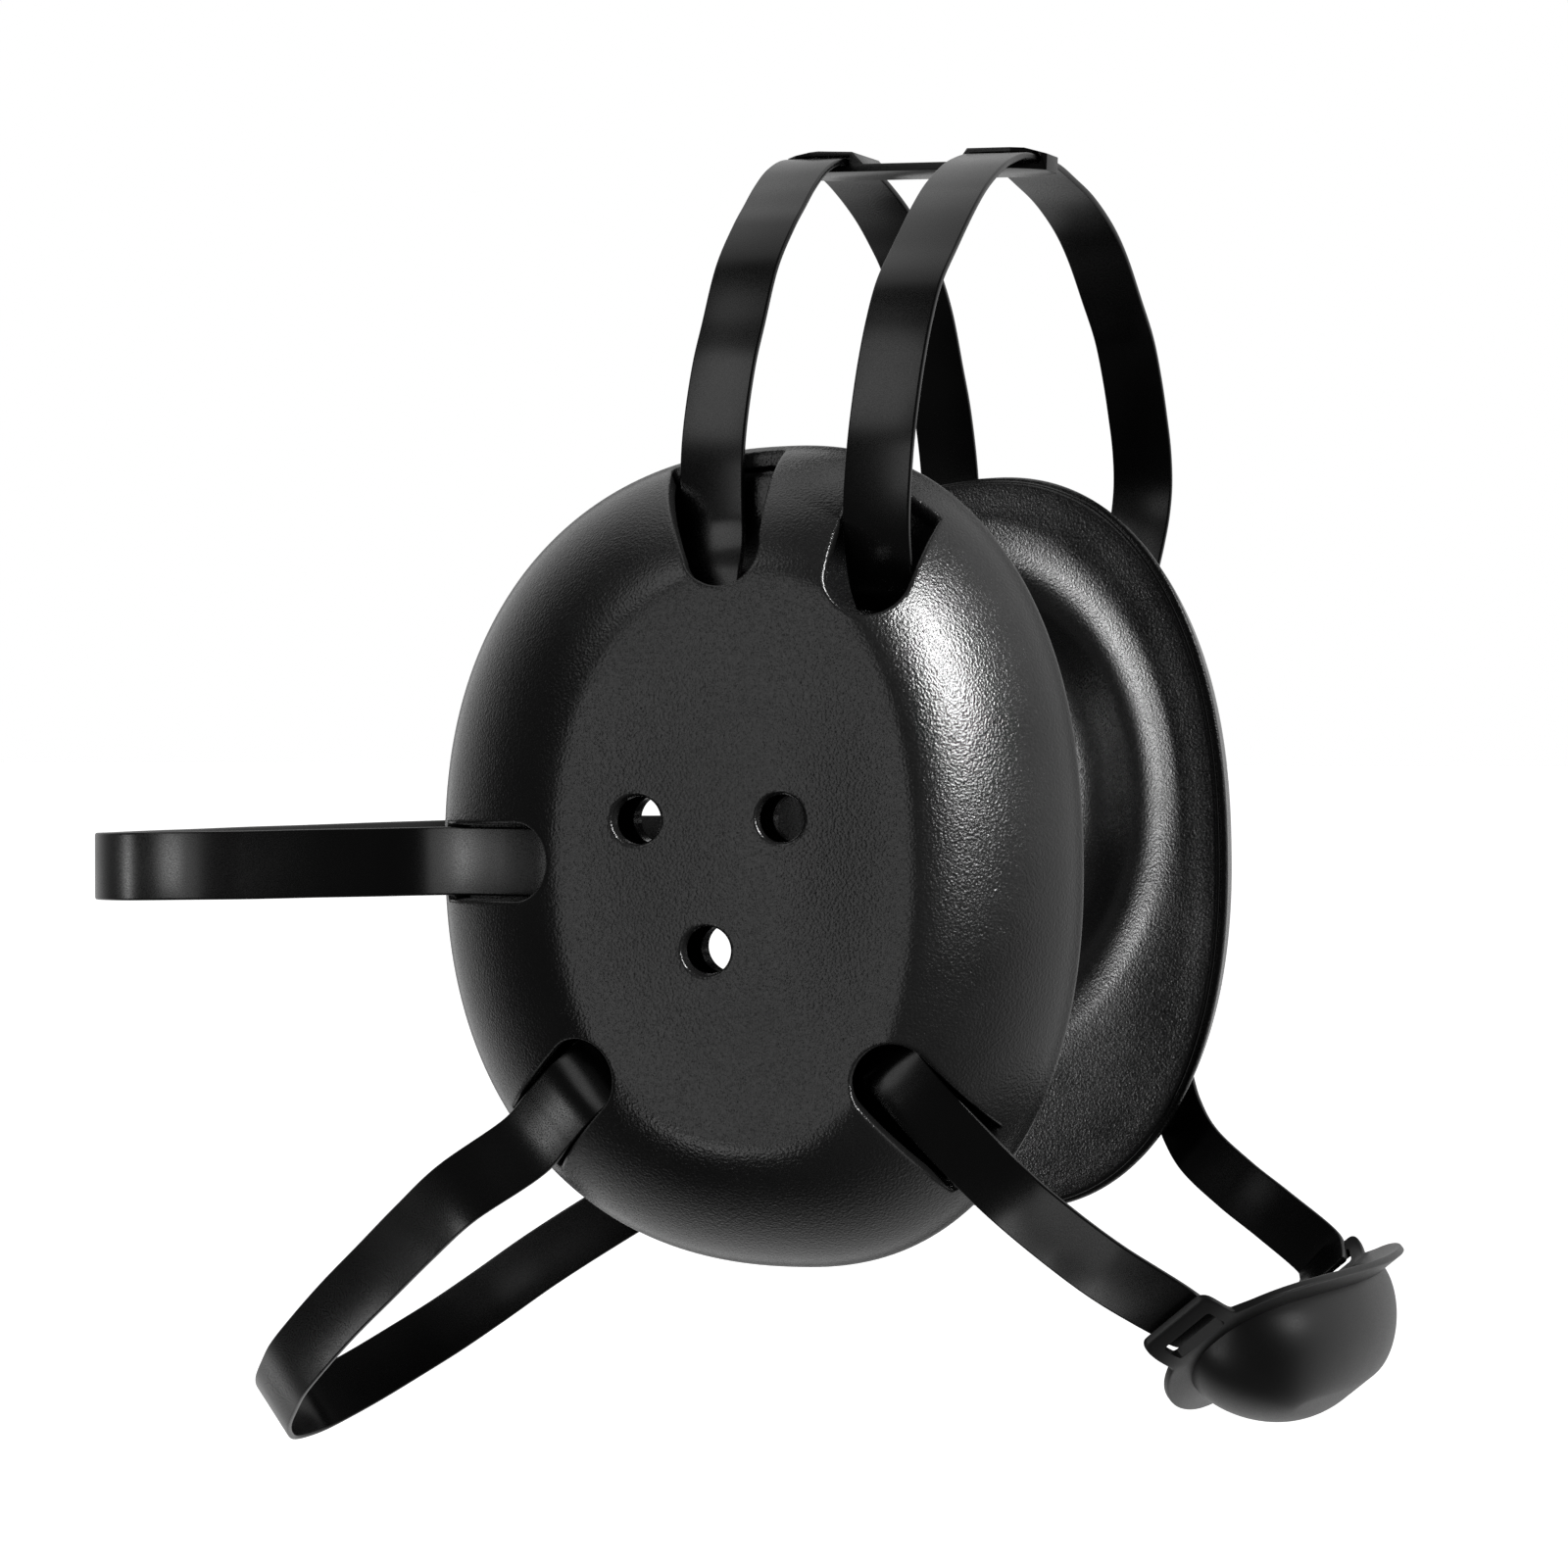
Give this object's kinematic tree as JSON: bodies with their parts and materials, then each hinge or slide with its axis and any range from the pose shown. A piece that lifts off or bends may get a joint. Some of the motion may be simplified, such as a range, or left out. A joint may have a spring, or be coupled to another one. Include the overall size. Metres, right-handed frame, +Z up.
{
  "type": "wrestling ear guard",
  "caption": "Black wrestling ear guard in its worn form: domed ear cups with padded pockets, joined by crown, back, nape and chin straps, with a crown bridge and a chin cup.",
  "frame": {"origin": "middle of the underside of the crown bridge, on the median plane of the head", "axes": "+X toward the face, +Y toward the wearer's left, +Z up"},
  "size_m": [0.1988, 0.1424, 0.2086],
  "materials": {
    "ear_shell": "satin grained",
    "ear_pad": "satin grained",
    "strap": "satin",
    "bridge": "satin",
    "chin_cup": "matte"
  },
  "bodies": {
    "root": {"ear_shell_right": "ear_shell", "ear_shell_left": "ear_shell", "ear_pad_right": "ear_pad", "ear_pad_left": "ear_pad", "crown_strap_front": "strap", "crown_strap_rear": "strap", "crown_bridge": "bridge", "back_strap": "strap", "nape_strap": "strap", "chin_strap_right": "strap", "chin_strap_left": "strap", "chin_cup": "chin_cup"}
  },
  "joints": []
}
